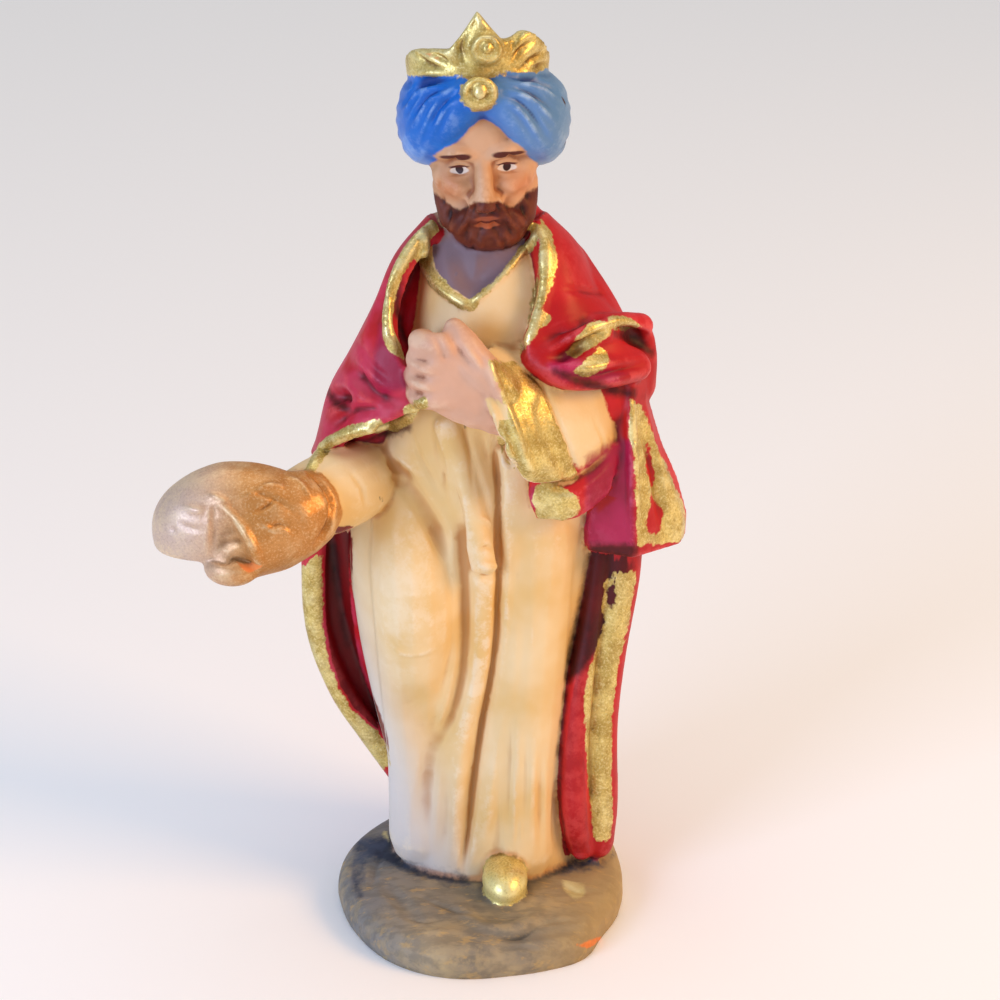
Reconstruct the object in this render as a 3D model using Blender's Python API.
"""A nativity wise man figurine: one small terracotta casting of a standing king.

He stands on a round piece of ground with his left hand on his chest and his right arm holding out a
gift. The casting is worked as a modeller in clay would work it: closed forms (lofted garments, rolled
tubes, balls and cloth panels) are laid over each other, fused into one skin, rubbed smooth, and then
pressed and raised along strokes for the folds, the hair and the face.

Units: metres. Origin: the centre of the flat underside of the base. +Z up, the figure looks along -Y,
and its own right hand is at -X.
"""

import math

import bmesh
import bpy
import numpy as np
from mathutils import Matrix, Vector
from mathutils.bvhtree import BVHTree

# Driving dimensions
BASE_WIDTH = 0.0390  # across the round of ground, side to side
BASE_DEPTH = 0.0415  # the same, front to back
BASE_THICKNESS = 0.0050  # from the underside to the level the figure stands on
FIGURE_HEIGHT = 0.1155  # from that level to the tip of the crown
TRIANGLES = 9400  # about as many as the finished solid has

# The pose, the proportions and the carving are shares of the figure's height. A part is the unit they
# are written in, and the figure is 115.5 parts tall, measured up from the level it stands on.
PARTS_TALL = 115.5
PART = FIGURE_HEIGHT / PARTS_TALL
CLAY_GRAIN = 0.5 * PART  # the size of the cells that the fused skin is made of
HEAD_CENTRE = (-0.2, 1.6, 97.7)  # parts
HEAD_BOW = 12.0  # degrees the head is bowed
HEAD_LEAN = 4.0  # degrees its top leans towards the figure's right shoulder

# Where the figure is looked at from while strokes are laid on it, in parts
EYES = {"front": (0.0, -304.0, 184.0), "back": (0.0, 304.0, 100.0), "left": (304.0, 0.0, 100.0),
        "right": (-304.0, 0.0, 100.0)}


def place(x, y, z):
    """A point of the figure in metres, from its place in parts above the standing level."""
    return Vector((x * PART, y * PART, BASE_THICKNESS + z * PART))


def head_place(x, y, z):
    """A point of the figure in parts, from its place in the head's own upright frame."""
    leant = Matrix.Rotation(math.radians(-HEAD_LEAN), 3, "Y") @ Vector((x, y, z))
    bowed = Matrix.Rotation(math.radians(HEAD_BOW), 3, "X") @ leant
    return tuple(bowed + Vector(HEAD_CENTRE))


def smooth_path(points, steps=8):
    """Points along a Catmull-Rom curve through the given points, of any number of values each."""
    knots = np.array(points, float)
    knots = np.vstack([2 * knots[0] - knots[1], knots, 2 * knots[-1] - knots[-2]])
    found = []
    for a, b, c, d in zip(knots, knots[1:], knots[2:], knots[3:]):
        for t in np.arange(steps) / steps:
            found.append(
                0.5 * (2 * b + (c - a) * t + (2 * a - 5 * b + 4 * c - d) * t**2
                       + (3 * b - a - 3 * c + d) * t**3)
            )
    found.append(knots[-2])
    return np.array(found)


# Clay forms. Each adds one closed shape to the bmesh that holds the lump.

def add_mesh(clay, shape):
    """Adds a finished shape to the lump and frees it."""
    mesh = bpy.data.meshes.new("form")
    shape.to_mesh(mesh)
    shape.free()
    clay.from_mesh(mesh)
    bpy.data.meshes.remove(mesh)


def add_ball(clay, centre, radii, lean=(0, 0, 0)):
    """An egg of clay: its centre and three radii in parts, and its lean in degrees about X, Y and Z."""
    turn = Matrix.Rotation(math.radians(lean[2]), 4, "Z") @ Matrix.Rotation(math.radians(lean[1]), 4, "Y")
    turn = turn @ Matrix.Rotation(math.radians(lean[0]), 4, "X")
    stretch = Matrix.Diagonal((*[r * PART for r in radii], 1))
    ball = bmesh.new()
    bmesh.ops.create_uvsphere(
        ball, u_segments=28, v_segments=16, radius=1,
        matrix=Matrix.Translation(place(*centre)) @ turn @ stretch
    )
    add_mesh(clay, ball)


def add_rings(clay, rings):
    """A loft through closed rings of equally many points, capped at both ends."""
    loft = bmesh.new()
    loops = [[loft.verts.new(p) for p in ring] for ring in rings]
    for low, high in zip(loops, loops[1:]):
        for i in range(len(low)):
            j = (i + 1) % len(low)
            loft.faces.new((low[i], low[j], high[j], high[i]))
    loft.faces.new(loops[0][::-1])
    loft.faces.new(loops[-1])
    bmesh.ops.recalc_face_normals(loft, faces=loft.faces[:])
    add_mesh(clay, loft)


def add_garment(clay, levels, roundness=2.3, sides=48, turn_by=0.0):
    """A garment as a loft of rounded ovals. Each level is its height, left, right, front and back."""
    rings = []
    for height, left, right, front, back in smooth_path(levels, 5):
        centre = Vector(((left + right) / 2, (front + back) / 2, height))
        ring = []
        for turn in np.arange(sides) * 2 * math.pi / sides:
            c, s = math.cos(turn), math.sin(turn)
            out = Vector(((right - left) / 2 * math.copysign(abs(c) ** (2 / roundness), c),
                          (back - front) / 2 * math.copysign(abs(s) ** (2 / roundness), s), 0))
            ring.append(place(*(centre + Matrix.Rotation(math.radians(turn_by), 3, "Z") @ out)))
        rings.append(ring)
    add_rings(clay, rings)


def add_roll(clay, points, sides=16, up=None, round_ends=(True, True)):
    """A roll of clay along a curve. Each point is x, y, z, the radius there and, for a flattened roll,
    the radius across it. The first radius lies as near as it can to up, which is +Z, or +Y where the
    roll itself stands upright."""
    path = smooth_path(points, 6)
    centres = [Vector(p[:3]) for p in path]
    reach = centres[-1] - centres[0]
    if up is None:
        up = (0, 1, 0) if abs(reach.z) > 0.75 * reach.length > 0 else (0, 0, 1)
    tall = [p[3] for p in path]
    wide = [p[-1] for p in path]
    stations = []
    for i, centre in enumerate(centres):
        along = (centres[min(i + 1, len(path) - 1)] - centres[max(i - 1, 0)]).normalized()
        stations.append((centre, along, tall[i], wide[i]))
    rings = []
    for end, way, is_round in ((0, -1, round_ends[0]), (-1, 1, round_ends[1])):
        centre, along, high, broad = stations[end]
        cap = []
        for lift in (30, 55, 75) if is_round else ():
            share = math.cos(math.radians(lift))
            reach = way * min(high, broad) * math.sin(math.radians(lift))
            cap.append((centre + along * reach, along, high * share, broad * share))
        rings.append(cap)
    stations = rings[0][::-1] + stations + rings[1]
    rings = []
    for centre, along, high, broad in stations:
        across = Vector(up) - along * along.dot(up)
        across = across.normalized() if across.length > 0.05 else along.orthogonal().normalized()
        beside = along.cross(across)
        rings.append([
            place(*(centre + across * math.cos(turn) * high + beside * math.sin(turn) * broad))
            for turn in np.arange(sides) * 2 * math.pi / sides
        ])
    add_rings(clay, rings)


def add_cloth(clay, rows, thickness=2.2):
    """A panel of cloth of one thickness through rows of points, each row with equally many."""
    across = [smooth_path(row, 5) for row in rows]
    grid = np.stack([smooth_path([row[i] for row in across], 5) for i in range(len(across[0]))], axis=1)
    normals = np.cross(np.gradient(grid, axis=0), np.gradient(grid, axis=1))
    normals *= thickness / 2 / np.linalg.norm(normals, axis=2, keepdims=True)
    rings = []
    for outer, inner in zip(grid + normals, grid - normals):
        rings.append([place(*p) for p in (*outer, *inner[::-1])])
    add_rings(clay, rings)


def add_band(clay, sections):
    """A closed band through cross-sections of equally many points, the last one meeting the first."""
    band = bmesh.new()
    loops = [[band.verts.new(p) for p in section] for section in sections]
    for i, here in enumerate(loops):
        ahead = loops[(i + 1) % len(loops)]
        for j in range(len(here)):
            k = (j + 1) % len(here)
            band.faces.new((here[j], here[k], ahead[k], ahead[j]))
    bmesh.ops.recalc_face_normals(band, faces=band.faces[:])
    add_mesh(clay, band)


def add_sleeve(clay, stations, facing, sides=28):
    """A sleeve through upright ovals. Each station is x, y, z, the oval's upright and level radii and its
    lean in degrees; facing is the direction in degrees of the level radius, from the front."""
    level = Vector((math.sin(math.radians(facing)), -math.cos(math.radians(facing)), 0))
    side = Vector((level.y, -level.x, 0))
    rings = []
    for x, y, z, tall, wide, lean in smooth_path(stations, 4):
        upright = Vector((0, 0, 1)) * math.cos(math.radians(lean)) + side * math.sin(math.radians(lean))
        rings.append([
            place(*(Vector((x, y, z)) + upright * tall * math.cos(turn) + level * wide * math.sin(turn)))
            for turn in np.arange(sides) * 2 * math.pi / sides
        ])
    add_rings(clay, rings)


def add_folded(clay, levels):
    """Cloth in thick folds: a loft through flat outlines, each a height and its points in x and y."""
    add_rings(clay, [[place(x, y, height) for x, y in outline] for height, outline in levels])


# The figure's forms

def model_ground(clay):
    """The round of ground, a low mound with an uneven edge. It is sliced flat underneath later."""
    rim_levels = ((-0.6, 0.95), (0.0, 0.98), (0.3, 1.0), (0.6, 0.985), (0.82, 0.93), (0.96, 0.80),
                  (1.04, 0.4))
    reach = [0.945, 0.97, 1.02, 1.02, 1.01, 1.01, 1.0, 0.98, 0.99, 1.0, 1.01, 1.01, 1.0,
             1.0, 1.02, 1.02, 1.0, 0.97, 0.985, 1.015, 0.945, 0.95]
    outline = smooth_path(np.array(reach + reach[:1])[:, None], 3)[:-1, 0]
    turns = np.arange(len(outline)) * 2 * math.pi / len(outline)
    rings = []
    for height, share in rim_levels:
        rings.append([
            Vector((BASE_WIDTH / 2 * share * far * math.cos(turn),
                    BASE_DEPTH / 2 * share * far * math.sin(turn), BASE_THICKNESS * height))
            for far, turn in zip(outline, turns)
        ])
    add_rings(clay, rings)


def model_tunic(clay):
    """The long tunic from the collar to the hem, the bent right knee under it and the toe of a shoe."""
    add_garment(clay, (
        (-1.5, -12.4, 13.0, -4.6, 16.0),
        (2.5, -12.4, 12.6, -4.8, 16.0),
        (12.0, -12.6, 11.6, -4.6, 15.5),
        (22.0, -14.6, 11.6, -4.6, 15.0),
        (34.0, -16.6, 12.6, -5.2, 15.0),
        (46.0, -17.2, 14.0, -5.8, 15.0),
        (56.0, -14.5, 14.5, -6.4, 14.5),
        (66.0, -12.0, 12.5, -6.4, 14.0),
        (76.0, -9.0, 10.5, -5.6, 13.0),
        (82.0, -7.9, 9.0, -3.8, 11.0),
        (87.0, -7.0, 6.6, -0.6, 9.5),
        (89.0, -5.0, 5.0, 1.6, 8.5),
    ))
    # Thigh, knee and shin of the bent leg
    add_roll(clay, ((-9.0, 0.5, 54, 5.0), (-9.0, -2.0, 46, 5.6), (-8.8, -3.2, 38, 5.4),
                    (-9.0, -1.4, 28, 4.6), (-8.6, 0.4, 16, 4.2), (-8.2, 1.0, 4, 4.6)))
    # Standing leg
    add_roll(clay, ((6.4, -0.4, 50, 5.4), (5.6, -0.8, 30, 4.8), (4.6, -1.0, 12, 4.6), (4.4, -0.8, 3, 5.0)))
    # Sash end hanging down the middle
    add_roll(clay, ((-4.6, -6.0, 65, 1.4, 1.8), (-2.4, -6.6, 56, 1.4, 1.9), (-0.2, -6.4, 46.5, 1.3, 1.7)),
             up=(0, 1, 0))
    # Toe of the shoe
    add_ball(clay, (2.6, -7.2, 1.8), (3.0, 4.2, 2.7), (8, 0, 0))


def model_cloak(clay):
    """The cloak: its back and the flap hanging at the figure's right side."""
    add_garment(clay, (
        (-1.5, -11.0, 15.4, 2.0, 18.0),
        (4.0, -11.2, 15.8, 2.0, 18.2),
        (12.0, -12.0, 15.6, 2.4, 18.0),
        (22.0, -15.6, 15.8, 2.6, 17.6),
        (34.0, -19.0, 17.0, 2.8, 17.4),
        (46.0, -21.0, 18.6, 2.5, 17.2),
        (56.0, -21.2, 19.0, 0.5, 17.0),
        (64.0, -18.8, 17.6, -0.5, 16.5),
        (72.0, -15.2, 15.6, -0.5, 15.5),
        (79.0, -11.4, 13.4, 0.0, 14.0),
        (84.0, -8.8, 11.0, 1.0, 12.8),
        (88.0, -5.6, 7.0, 2.0, 11.2),
        (91.0, -4.6, 5.4, 2.8, 9.8),
    ))
    # Flap: its lining faces forward beside the tunic
    add_cloth(clay, (
        ((-13.0, 9.0, 58.0), (-18.0, 8.0, 58.0), (-20.6, 6.4, 56.0)),
        ((-13.0, 10.0, 46.0), (-19.4, 8.4, 45.0), (-22.4, 7.0, 44.0)),
        ((-13.0, 11.0, 34.0), (-19.4, 9.0, 33.0), (-22.6, 7.4, 31.0)),
        ((-12.4, 12.0, 24.0), (-17.4, 9.6, 22.4), (-19.8, 7.8, 21.6)),
        ((-11.0, 13.0, 15.0), (-13.8, 10.6, 14.0), (-15.6, 8.4, 14.8)),
        ((-8.0, 13.5, 8.0), (-10.2, 11.6, 6.8), (-11.6, 8.8, 8.6)),
    ), 2.6)
    add_roll(clay, ((-20.8, 7.0, 53, 1.2), (-22.0, 6.6, 44, 1.6), (-22.0, 6.8, 32, 1.6),
                    (-19.2, 7.2, 22.4, 1.6), (-15.2, 7.6, 15.2, 1.6), (-11.4, 8.2, 8.6, 1.5)))


def model_cloak_left(clay):
    """The cloak at the figure's left: the mass over the arm, its hanging end and the long front edge."""
    # Long front edge down to the ground, and the roll of lining inside it
    add_roll(clay, ((17.6, 3.2, 52, 2.5), (17.4, 2.8, 42, 2.6), (15.8, 2.2, 30, 2.5), (15.0, 1.4, 20, 2.4),
                    (15.2, 1.0, 9, 2.4), (14.9, 1.2, 2.5, 2.3)))
    add_roll(clay, ((14.6, 1.4, 45, 1.2), (13.4, 0.0, 35, 1.3), (12.3, -1.2, 27, 1.7),
                    (11.6, -1.8, 18, 1.9), (11.9, -1.6, 8, 1.9), (12.8, -0.6, 2.5, 1.6)))
    # Shoulder and upper arm under the cloth
    add_roll(clay, ((7.6, 5.0, 81, 5.4), (11.5, 3.0, 74, 6.0), (14.0, 1.0, 67, 6.0)))
    # Over the shoulder and gathered above the forearm
    add_cloth(clay, (
        ((5.4, 0.2, 88.6), (6.4, 2.6, 88.6), (6.4, 5.5, 87.8), (5.4, 9.0, 86.6)),
        ((6.2, -2.4, 85.0), (9.0, -0.8, 85.2), (10.4, 4.0, 84.2), (9.4, 9.6, 82.8)),
        ((6.4, -4.4, 81.0), (10.2, -3.2, 81.2), (13.0, 2.5, 79.2), (12.0, 9.0, 78.0)),
        ((5.2, -6.4, 77.0), (10.0, -6.0, 77.2), (15.0, -2.4, 76.4), (15.6, 6.5, 75.0)),
        ((5.0, -7.8, 74.4), (10.2, -8.0, 74.0), (16.2, -5.0, 73.4), (19.4, 2.2, 73.0)),
        ((7.0, -8.0, 72.6), (10.8, -7.8, 71.6), (16.0, -5.4, 70.8), (19.4, 1.0, 69.6)),
    ), 2.4)
    # Three gathers that fan out from the front corner to the hump outside the arm
    add_roll(clay, ((6.2, -7.6, 74.0, 1.7), (10.0, -8.6, 72.8, 2.1), (14.6, -7.0, 72.4, 2.1),
                    (18.4, -3.2, 71.6, 1.9)))
    add_roll(clay, ((8.0, -6.4, 76.6, 1.5), (11.6, -6.8, 77.2, 1.8), (15.6, -4.2, 77.2, 1.7),
                    (19.0, -0.2, 75.8, 1.6)))
    add_roll(clay, ((16.0, -2.0, 75.6, 2.0), (18.4, 0.4, 74.6, 2.0), (19.2, 0.8, 71.4, 2.0),
                    (18.6, 1.4, 67.5, 2.6)))
    # Clay between the gathers and the forearm
    add_ball(clay, (11.0, -5.4, 71.4), (2.0, 1.6, 1.4))
    # Hanging end outside the elbow
    add_folded(clay, (
        (46.6, ((12.8, 0.5), (12.8, -2.7), (18.5, -4.9), (24.6, -0.6), (25.4, 2.0), (18.0, 5.5))),
        (50.0, ((12.8, 0.5), (12.8, -2.9), (18.6, -5.1), (24.8, -0.6), (25.6, 2.0), (18.0, 5.5))),
        (55.0, ((13.2, 0.0), (13.4, -3.2), (18.5, -5.2), (23.4, -0.8), (24.2, 2.0), (18.0, 5.5))),
        (60.0, ((13.8, 0.0), (14.6, -3.4), (18.3, -5.2), (21.4, -1.2), (22.0, 2.0), (17.0, 5.5))),
        (66.0, ((13.8, 1.0), (15.4, -3.0), (17.9, -4.6), (19.8, -1.4), (20.2, 2.0), (16.5, 5.5))),
        (72.0, ((13.0, 1.0), (15.5, -3.2), (18.0, -3.6), (20.0, -0.5), (20.2, 3.0), (16.0, 6.0))),
    ))
    # Corner of cloth under the cuff
    add_cloth(clay, (
        ((6.0, -7.0, 60.5), (10.5, -7.0, 61.0), (15.6, -3.4, 62.0)),
        ((5.4, -7.4, 57.0), (10.4, -7.8, 56.8), (15.2, -4.0, 58.4)),
        ((6.4, -7.2, 53.8), (10.4, -7.2, 53.8), (14.4, -4.4, 55.6)),
    ), 2.8)


def model_cloak_right(clay):
    """The cloak over the figure's right shoulder and upper arm, down to its hem at the elbow."""
    add_roll(clay, ((-4.6, 6.0, 82, 4.4), (-10.0, 4.4, 73, 4.8), (-14.6, 2.8, 64, 5.2)))
    add_cloth(clay, (
        ((-5.6, 0.4, 88.2), (-6.0, 2.6, 88.2), (-5.6, 5.6, 87.6), (-4.8, 9.0, 86.6)),
        ((-9.4, -3.0, 84.6), (-9.8, -0.2, 84.4), (-9.2, 4.4, 83.2), (-7.8, 9.0, 82.0)),
        ((-11.0, -4.8, 80.2), (-12.0, -2.2, 79.6), (-11.8, 3.4, 78.0), (-10.6, 9.0, 76.6)),
        ((-10.6, -6.0, 75.6), (-14.0, -4.2, 74.2), (-15.4, 1.6, 71.8), (-14.0, 8.0, 70.4)),
        ((-8.4, -7.4, 71.2), (-14.0, -6.4, 69.6), (-18.2, -1.0, 67.0), (-17.0, 7.0, 65.6)),
        ((-7.2, -7.8, 68.4), (-13.4, -7.0, 65.2), (-19.2, -3.8, 61.0), (-21.0, 3.0, 57.0)),
    ), 2.4)


def model_arms(clay):
    """The right arm held out with the gift, and the left forearm with its cuff and hand on the chest."""
    # Right forearm in its sleeve
    add_roll(clay, ((-14.6, -0.6, 56.2, 4.4), (-17.2, -4.2, 56.2, 5.1), (-21.0, -7.4, 55.8, 4.9),
                    (-26.0, -10.5, 55.0, 3.6)))
    # Left forearm in its sleeve, from the elbow to the open cuff
    add_sleeve(clay, (
        (16.0, -2.6, 65.6, 2.0, 1.6, 12),
        (15.0, -3.2, 65.8, 4.8, 3.6, 12),
        (12.0, -5.0, 66.0, 6.4, 4.4, 14),
        (8.6, -6.6, 66.3, 7.0, 4.6, 17),
        (7.8, -7.0, 66.4, 8.0, 5.4, 19),
        (4.2, -8.2, 67.2, 8.7, 5.6, 20),
        (3.0, -8.6, 67.5, 8.6, 5.2, 20),
        (3.2, -8.4, 67.5, 7.4, 3.8, 20),
        (5.8, -7.4, 67.2, 6.2, 2.6, 20),
    ), -20)
    # Palm, four fingers curled to the chest, and the thumb
    add_roll(clay, ((4.6, -8.6, 67.6, 4.0, 2.6), (-0.6, -9.6, 70.4, 4.5, 2.8), (-4.6, -9.6, 73.2, 4.9, 2.8),
                    (-6.2, -9.2, 74.4, 4.4, 2.4)), up=(0.35, 0, 0.94), round_ends=(False, True))
    for finger in range(4):
        drop = 2.25 * finger
        inset = 0.3 * abs(finger - 1.7)
        add_roll(clay, ((-3.8, -11.0, 77.2 - drop, 1.5), (-6.8 + inset, -10.8, 77.2 - drop, 1.5),
                        (-8.3 + inset, -9.0, 77.0 - drop, 1.45), (-7.6 + inset, -6.6, 76.4 - drop, 1.3)))
    # The hollow behind the little finger, closed
    add_ball(clay, (-6.2, -6.4, 69.8), (1.8, 2.2, 1.8))
    add_roll(clay, ((2.0, -10.0, 71.0, 2.4), (-0.8, -10.8, 74.4, 2.3), (-2.6, -10.2, 77.2, 1.9),
                    (-3.6, -9.2, 78.6, 1.4)))


def model_gift(clay):
    """The gift, a domed casket on the open right hand, and the end of the hand in front of it."""
    add_garment(clay, (
        (51.2, -39.4, -22.4, -16.2, -7.4),
        (52.2, -40.2, -20.4, -17.2, -6.2),
        (55.4, -40.2, -19.2, -17.4, -5.6),
        (58.2, -38.8, -20.0, -16.8, -6.2),
        (60.6, -36.0, -22.8, -15.2, -7.6),
        (61.8, -33.2, -26.0, -13.6, -9.2),
        (62.2, -31.4, -28.4, -12.6, -10.4),
    ), 2.6, 40, -6)
    add_roll(clay, ((-30.0, -15.8, 53.0, 4.4, 4.0), (-26.8, -13.2, 54.4, 5.8, 5.4),
                    (-23.0, -11.2, 55.8, 5.6, 5.6)), 20, round_ends=(False, True))
    add_ball(clay, (-30.4, -16.4, 50.7), (3.4, 2.6, 2.1), (0, 0, -10))


def model_head(clay):
    """The head with its beard, in the head's own upright frame, and the neck under it."""
    add_roll(clay, ((0, 5.4, 82, 5.0), (-0.2, 3.4, 91, 4.2)))
    add_roll(clay, [(*head_place(0, 2.4, 3.2 + step), 6.4, 6.6) for step in (-2.0, 0.0, 2.0)])
    rings = []
    for height, half, front, back in smooth_path((
        (-9.8, 2.6, -5.4, 0.0),
        (-8.2, 4.2, -6.4, 1.0),
        (-5.0, 5.3, -6.6, 2.0),
        (-2.0, 5.9, -6.4, 3.0),
        (1.0, 6.1, -6.2, 4.0),
        (3.0, 6.3, -6.7, 5.0),
        (6.0, 6.2, -6.4, 6.0),
        (8.5, 5.2, -4.8, 6.0),
    ), 4):
        ring = []
        for turn in np.arange(32) * 2 * math.pi / 32:
            c, sn = math.cos(turn), math.sin(turn)
            x = half * math.copysign(abs(c) ** 0.88, c)
            y = (front + back) / 2 + (back - front) / 2 * math.copysign(abs(sn) ** 0.88, sn)
            ring.append(place(*head_place(x, y, height)))
        rings.append(ring)
    add_rings(clay, rings)
    # Nose
    add_roll(clay, [(*head_place(*p[:3]), p[3]) for p in (
        (0, -6.0, 1.8, 1.0), (0, -7.2, -1.2, 1.1), (0, -8.2, -3.2, 1.25))])
    for side in (-1, 1):
        add_ball(clay, head_place(side * 1.25, -7.0, -3.4), (0.95, 1.1, 0.85))
        # Brow, cheek, half of the moustache, and the hair before the ear
        for points in (
            ((side * 1.3, -6.3, 2.4, 0.9), (side * 3.2, -6.2, 2.9, 0.95), (side * 5.0, -4.8, 2.3, 0.9)),
            ((side * 2.6, -5.6, -2.2, 1.5), (side * 4.2, -4.6, -1.4, 1.5)),
            ((side * 0.4, -7.2, -4.9, 0.9), (side * 2.2, -7.0, -5.6, 1.1), (side * 3.6, -6.0, -7.2, 1.2)),
            ((side * 5.3, -2.4, 1.0, 1.0), (side * 5.0, -2.8, -3.4, 1.3), (side * 4.0, -4.0, -7.0, 1.9)),
        ):
            add_roll(clay, [(*head_place(*p[:3]), p[3]) for p in points])
    # Lower lip and the beard under it
    add_ball(clay, head_place(0, -6.9, -6.4), (1.6, 0.9, 0.6))
    add_ball(clay, head_place(0, -4.2, -8.6), (4.7, 3.8, 2.6))
    add_ball(clay, head_place(0, -2.2, -7.4), (5.3, 4.4, 3.2))


def model_turban(clay):
    """The turban, two lobes wound from the knot over the brow to the nape, and the crown round its top."""
    for side in (-1, 1):
        add_roll(clay, (
            (-0.4, -5.2, 106.0, 2.2, 2.0), (side * 3.4, -4.9, 104.8, 3.4, 2.6),
            (side * 6.2, -1.8, 102.4, 4.8, 3.5), (side * 6.7 - 0.2, 2.8, 101.0, 5.7, 3.9),
            (side * 5.2, 7.8, 99.8, 5.2, 4.0), (0, 10.4, 99.2, 4.8, 4.0)))
    add_ball(clay, (-0.2, 3.2, 104.2), (9.0, 8.4, 4.6), (-6, 0, 0))
    leaves = np.array((
        (-180, 3.2), (-150, 2.2), (-120, 3.4), (-90, 2.4), (-65, 3.2), (-42, 3.1), (-24, 3.0), (-13, 4.8),
        (0, 7.4), (10, 5.8), (22, 4.0), (34, 4.5), (46, 5.4), (62, 4.6), (90, 2.6), (120, 3.4), (150, 2.2),
        (180, 3.2)))
    sections = []
    for turn in np.arange(-180, 180, 4.0):
        c, sn = math.sin(math.radians(turn)), -math.cos(math.radians(turn))
        tall = float(np.interp(turn, leaves[:, 0], leaves[:, 1]))
        foot = 106.4 - 0.26 * 7.2 * sn
        sections.append([
            place(-0.9 + (8.2 + out) * c, 1.4 + (7.2 + out) * sn, foot + up)
            for out, up in ((-0.2, -0.8), (0.1, 0.0), (0.5 - 0.05 * tall, tall), (-1.0 - 0.1 * tall, tall),
                            (-2.2, 0.0), (-2.2, -1.5))
        ])
    add_band(clay, sections)
    # Jewels on the turban and on the crown's tall leaf
    add_ball(clay, (-0.6, -7.4, 106.6), (2.2, 1.3, 2.2), (14, 0, 0))
    add_ball(clay, (0.2, -6.2, 111.4), (1.9, 1.2, 1.9), (14, 0, 0))


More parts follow.
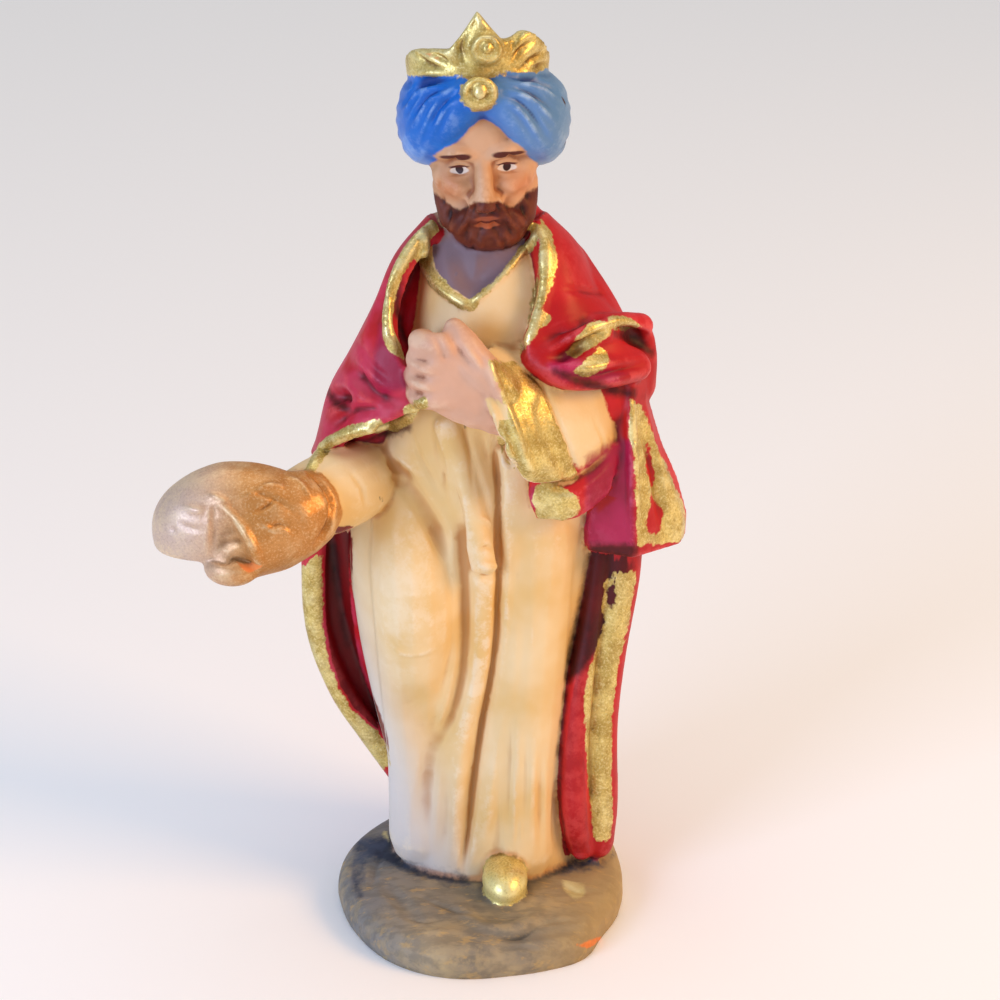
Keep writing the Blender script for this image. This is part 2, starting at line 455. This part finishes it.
# Strokes laid on the skin: where they are seen from, their radius and depth in parts (above 0 raises,
# below 0 presses) and their line, as x and z on the upright plane through the figure's middle.
STROKES = (
    # Tunic: beside the bent knee, down the middle, and the thin folds of the skirt
    ("front", 1.4, -1.0, ((-4.8, 58), (-3.4, 50), (-2.7, 43.5), (-2.5, 36), (-2.7, 29), (-3.9, 23),
                          (-6.2, 17))),
    ("front", 1.0, -1.3, ((1.2, 62), (1.6, 56), (1.7, 50), (1.9, 44), (1.7, 38), (1.5, 33), (0.8, 27),
                          (-0.4, 20), (-1.4, 12.5), (-2.2, 5), (-2.9, -1))),
    ("front", 2.4, -0.8, ((1.0, 27), (-0.6, 18), (-1.7, 10), (-2.6, 2))),
    ("front", 2.0, 0.3, ((-0.6, 52), (-0.3, 44), (-0.4, 34), (-2.2, 20), (-4.4, 6))),
    ("front", 1.6, 0.35, ((3.6, 40), (3.3, 30), (2.0, 20), (0.8, 10), (0.0, 3))),
    ("front", 1.1, -0.4, ((3.4, 22), (3.1, 12.5), (2.9, 3))),
    ("front", 1.1, -0.4, ((5.3, 21), (5.2, 12), (4.9, 3))),
    ("front", 1.1, -0.4, ((7.3, 17), (7.3, 9), (7.5, 2))),
    ("front", 1.8, -0.5, ((-6.4, 18), (-7.9, 11), (-8.6, 3.4))),
    ("front", 1.4, -0.4, ((-4.8, 15.5), (-5.2, 6.5), (-6.0, 0))),
    ("front", 4.0, -0.9, ((-11.5, 26), (-9.0, 22), (-7.5, 14))),
    ("front", 1.0, -0.8, ((-1.4, 42.4), (1.4, 42.0))),
    ("front", 1.4, -1.0, ((-0.6, 62), (0.9, 56.5), (1.9, 52.5))),
    ("front", 1.8, -0.9, ((-11.2, 56.5), (-9.4, 54), (-6.9, 50), (-4.4, 44))),
    ("front", 1.2, -0.6, ((-12.4, 58.7), (-10.6, 56.6), (-8.7, 55.3))),
    # Collar
    ("front", 1.0, 0.6, ((-7.4, 88), (-7.2, 86), (-7.5, 84), (-6.7, 82), (-5.1, 80.3), (-3.0, 78.8),
                         (-1.6, 78))),
    ("front", 1.0, 0.6, ((5.8, 88), (5.7, 86.6), (4.2, 85), (1.8, 82.5), (-0.6, 80.3), (-1.6, 78.2))),
    ("front", 2.2, -0.9, ((-3.6, 86), (-1.6, 81.5), (1.6, 84.5))),
    # Cloak over the right arm
    ("front", 1.6, -1.3, ((-16.8, 70.6), (-15.4, 68.6), (-13.3, 66.4), (-10.1, 65.7))),
    ("front", 1.7, -1.8, ((-19.4, 66.3), (-18.1, 66.5), (-16.7, 65.3))),
    ("front", 1.3, -0.9, ((-19.2, 62), (-17.3, 64), (-14.8, 64.7), (-11.7, 64.4))),
    ("front", 2.2, -0.7, ((-10.6, 84), (-13.0, 77.7), (-14.3, 72.6))),
    ("front", 1.3, 0.6, ((-6.2, 88.5), (-8.6, 86), (-11.0, 82), (-12.0, 79), (-11.8, 75), (-10.2, 72.3))),
    ("front", 1.4, 0.6, ((-7.6, 65.3), (-10.5, 62.9), (-13.6, 61.9), (-16.8, 60.9), (-19.9, 59.3),
                         (-21.7, 56.5))),
    # Cloak over the left arm
    ("front", 1.5, 0.5, ((6.6, 88.5), (7.4, 85.5), (7.2, 81), (6.2, 76.5), (4.8, 73), (4.6, 71))),
    ("front", 1.2, -1.0, ((7.0, 73.6), (9.8, 75.4), (12.2, 76.7), (14.6, 77.1))),
    ("front", 1.2, -1.2, ((7.6, 71.2), (10.4, 72.3), (13.4, 73.9), (15.5, 75.1))),
    ("front", 1.5, -1.8, ((15.9, 75.1), (18.3, 74.5), (20.4, 72.8))),
    ("front", 1.2, -1.0, ((9.2, 69.4), (12.9, 68.9), (16.6, 69.9), (20.2, 71.0))),
    ("front", 1.1, 0.5, ((17.6, 66.9), (18.2, 62), (18.6, 55.3), (18.8, 46.6))),
    ("front", 1.4, -0.8, ((19.2, 63.3), (21.2, 56.6), (22.7, 47.0))),
    ("front", 1.2, -0.9, ((7.5, 54.6), (10.4, 54.5), (13.4, 56.3), (15.8, 58.6))),
    # Hand
    ("front", 0.8, -0.6, ((-6.6, 70.9), (-8.0, 71.2), (-9.6, 71.6))),
    ("front", 0.8, -0.6, ((-6.9, 68.7), (-8.2, 69.0), (-9.7, 69.3))),
    ("front", 0.8, -0.5, ((-7.2, 66.5), (-8.4, 66.8), (-9.5, 67.1))),
    ("front", 1.0, -0.9, ((-4.4, 75.4), (-3.7, 73.6), (-2.6, 71.4), (-1.0, 69.0))),
    # The flat facet under the gift
    ("front", 3.0, -0.9, ((-33.0, 50.0), (-32.2, 46.4), (-31.4, 44.0))),
    ("front", 0.8, 0.5, ((-34.2, 52.8), (-31.8, 50.5), (-29.7, 47.0), (-28.3, 43.6))),
    ("front", 1.0, -0.8, ((-22.0, 56.6), (-20.1, 54.4), (-19.1, 51.9), (-19.6, 49.0), (-21.6, 46.0))),
    # Rim of the cuff and the hollow inside it
    ("front", 0.9, 0.6, ((0.4, 72), (0.8, 69.5), (2.6, 65), (3.6, 62.4), (4.8, 58.8), (6.0, 56))),
    ("front", 1.1, -1.2, ((1.7, 61.4), (2.8, 58.4), (4.4, 56.2))),
    # Windings of the turban
    ("front", 0.9, -0.6, ((-4.1, 106.8), (-7.6, 105.8), (-9.8, 103.3))),
    ("front", 0.9, -0.7, ((-3.5, 106.2), (-7.1, 104.3), (-9.1, 100.4))),
    ("front", 0.9, -0.7, ((-2.9, 105.2), (-5.5, 102.7), (-7.3, 98.2))),
    ("front", 0.9, -0.6, ((2.3, 106.8), (5.9, 106.4), (8.8, 104.6))),
    ("front", 0.9, -0.7, ((2.0, 106.0), (5.3, 105.0), (8.4, 102.2))),
    ("front", 0.9, -0.7, ((1.8, 104.9), (4.9, 102.9), (7.5, 98.6))),
    # Eye sockets, the line of the mouth, and locks of the beard
    ("front", 1.7, -0.9, ((-4.0, 96.0), (-1.9, 96.1))),
    ("front", 1.7, -0.9, ((1.7, 96.3), (3.8, 96.5))),
    ("front", 0.7, -0.5, ((-1.3, 88.9), (0.3, 89.1), (1.9, 89.0))),
    ("front", 0.9, -0.5, ((-3.6, 88.8), (-2.7, 86.5), (-1.2, 84.5))),
    ("front", 0.9, -0.5, ((4.3, 89.2), (3.7, 86.8), (2.4, 84.7))),
    ("front", 0.9, -0.5, ((-0.2, 87.0), (0.6, 84.4))),
    # Ripples of the ground
    ("front", 1.5, 0.5, ((-11.2, -11.5), (-7.4, -11.2), (-3.6, -10.2))),
    ("front", 1.6, -0.4, ((2.0, -12.9), (6.1, -11.3), (11.4, -10.6), (15.5, -11.8))),
    ("front", 1.6, -0.4, ((-14.0, -2.7), (-11.4, -5.9), (-8.7, -9.8))),
    ("front", 1.6, 0.4, ((-4.0, -5.9), (-0.7, -9.8), (4.7, -9.8), (8.7, -6.6))),
    # Plain hanging folds of the cloak behind and at the sides
    ("back", 3.6, -1.7, ((1.0, 80), (1.6, 50), (2.6, 22), (3.4, 4))),
    ("back", 3.6, -1.7, ((-4.5, 78), (-6.6, 50), (-7.2, 24), (-6.2, 4))),
    ("back", 3.4, -1.6, ((6.0, 78), (9.6, 50), (10.4, 24), (10.6, 4))),
    ("back", 3.2, -1.4, ((-8.6, 74), (-13.4, 54), (-13.6, 36), (-10.4, 20))),
    ("back", 3.0, -1.4, ((9.6, 76), (15.2, 56), (15.0, 34), (14.4, 6))),
    ("back", 2.6, 0.7, ((-1.6, 82), (-2.6, 50), (-2.4, 6))),
    ("back", 2.6, 0.7, ((3.4, 82), (5.6, 50), (7.0, 6))),
    ("left", 2.6, -1.2, ((9.0, 66), (11.0, 46), (10.6, 8))),
    ("right", 2.6, -1.0, ((-9.4, 66), (-10.6, 44), (-11.4, 22))),
)


def clay_lump():
    """All the forms in one mesh, still lying through each other."""
    clay = bmesh.new()
    for model in (model_ground, model_tunic, model_cloak, model_cloak_left, model_cloak_right, model_arms,
                  model_gift, model_head, model_turban):
        model(clay)
    mesh = bpy.data.meshes.new("wise_man")
    clay.to_mesh(mesh)
    clay.free()
    return mesh


def shaped(mesh, *steps):
    """The mesh as a few modifiers leave it. Each step is a modifier type and its settings."""
    thing = bpy.data.objects.new("lump", mesh)
    bpy.context.scene.collection.objects.link(thing)
    for kind, settings in steps:
        modifier = thing.modifiers.new(kind.lower(), kind)
        for name, value in settings.items():
            setattr(modifier, name, value)
    graph = bpy.context.evaluated_depsgraph_get()
    done = bpy.data.meshes.new_from_object(thing.evaluated_get(graph))
    bpy.data.objects.remove(thing)
    return done


def laid_line(skin, view, line):
    """Points and outward directions where a line, seen from one of the EYES, lies on the skin."""
    eye = place(*EYES[view])
    found = []
    for x, z in smooth_path(line, 6):
        aim = place(x, 0, z) if view in ("front", "back") else place(0, x, z)
        spot, normal, _, _ = skin.ray_cast(eye, (aim - eye).normalized())
        if spot is not None:
            found.append((*spot, *normal))
    return np.array(found)


def press_strokes(mesh):
    """Presses and raises the skin along every stroke, fading out across its radius and at its ends."""
    points = np.empty(len(mesh.vertices) * 3)
    mesh.vertices.foreach_get("co", points)
    points = points.reshape(-1, 3)
    normals = np.empty(len(mesh.vertices) * 3)
    mesh.vertices.foreach_get("normal", normals)
    normals = normals.reshape(-1, 3)
    mesh.calc_loop_triangles()
    skin = BVHTree.FromPolygons(points.tolist(), [t.vertices[:] for t in mesh.loop_triangles])
    moves = np.zeros(len(points))
    for view, radius, depth, line in STROKES:
        laid = laid_line(skin, view, line)
        reach = radius * PART
        low, high = laid[:, :3].min(0) - reach, laid[:, :3].max(0) + reach
        near = np.where(((points > low) & (points < high)).all(1))[0]
        spans = laid[1:, :3] - laid[:-1, :3]
        offsets = points[near, None] - laid[None, :-1, :3]
        shares = np.clip((offsets * spans).sum(2) / (spans**2).sum(1), 0, 1)
        gaps = np.linalg.norm(offsets - shares[:, :, None] * spans, axis=2)
        nearest = gaps.argmin(1)
        across = np.clip(1 - (gaps.min(1) / reach) ** 2, 0, 1) ** 2
        along = nearest + shares[np.arange(len(near)), nearest]
        fade = np.clip((np.minimum(along, len(spans) - along) + 0.8) / 5, 0, 1)
        same_side = np.clip((normals[near] * laid[nearest, 3:]).sum(1) * 2, 0, 1)
        moves[near] += depth * PART * across * fade * same_side
    mesh.vertices.foreach_set("co", (points + normals * moves[:, None]).ravel())
    mesh.update()


def sliced_flat(mesh):
    """Slices the casting off at the level of its underside and closes the cut."""
    casting = bmesh.new()
    casting.from_mesh(mesh)
    everything = casting.verts[:] + casting.edges[:] + casting.faces[:]
    cut = bmesh.ops.bisect_plane(
        casting, geom=everything, plane_co=(0, 0, 0), plane_no=(0, 0, 1), clear_inner=True
    )
    rim = [g for g in cut["geom_cut"] if isinstance(g, bmesh.types.BMEdge)]
    bmesh.ops.contextual_create(casting, geom=rim)
    bmesh.ops.triangulate(casting, faces=casting.faces[:])
    casting.to_mesh(mesh)
    casting.free()


def paint():
    """The painted terracotta, in the warm cream that covers most of the figure."""
    material = bpy.data.materials.new("painted_terracotta")
    material.use_nodes = True
    shader = material.node_tree.nodes["Principled BSDF"]
    shader.inputs["Base Color"].default_value = (0.80, 0.52, 0.35, 1)
    shader.inputs["Roughness"].default_value = 0.55
    shader.inputs["Metallic"].default_value = 0.0
    return material


def main():
    for thing in list(bpy.data.objects):
        bpy.data.objects.remove(thing)
    skin = shaped(clay_lump(), ("REMESH", {"mode": "VOXEL", "voxel_size": CLAY_GRAIN}),
                  ("SMOOTH", {"factor": 0.5, "iterations": 5}))
    press_strokes(skin)
    share = TRIANGLES / sum(len(p.vertices) - 2 for p in skin.polygons)
    casting = shaped(skin, ("SMOOTH", {"factor": 0.5, "iterations": 1}), ("DECIMATE", {"ratio": share}))
    sliced_flat(casting)
    casting.materials.append(paint())
    thing = bpy.data.objects.new("wise_man", casting)
    bpy.context.scene.collection.objects.link(thing)


if __name__ == "__main__":
    main()
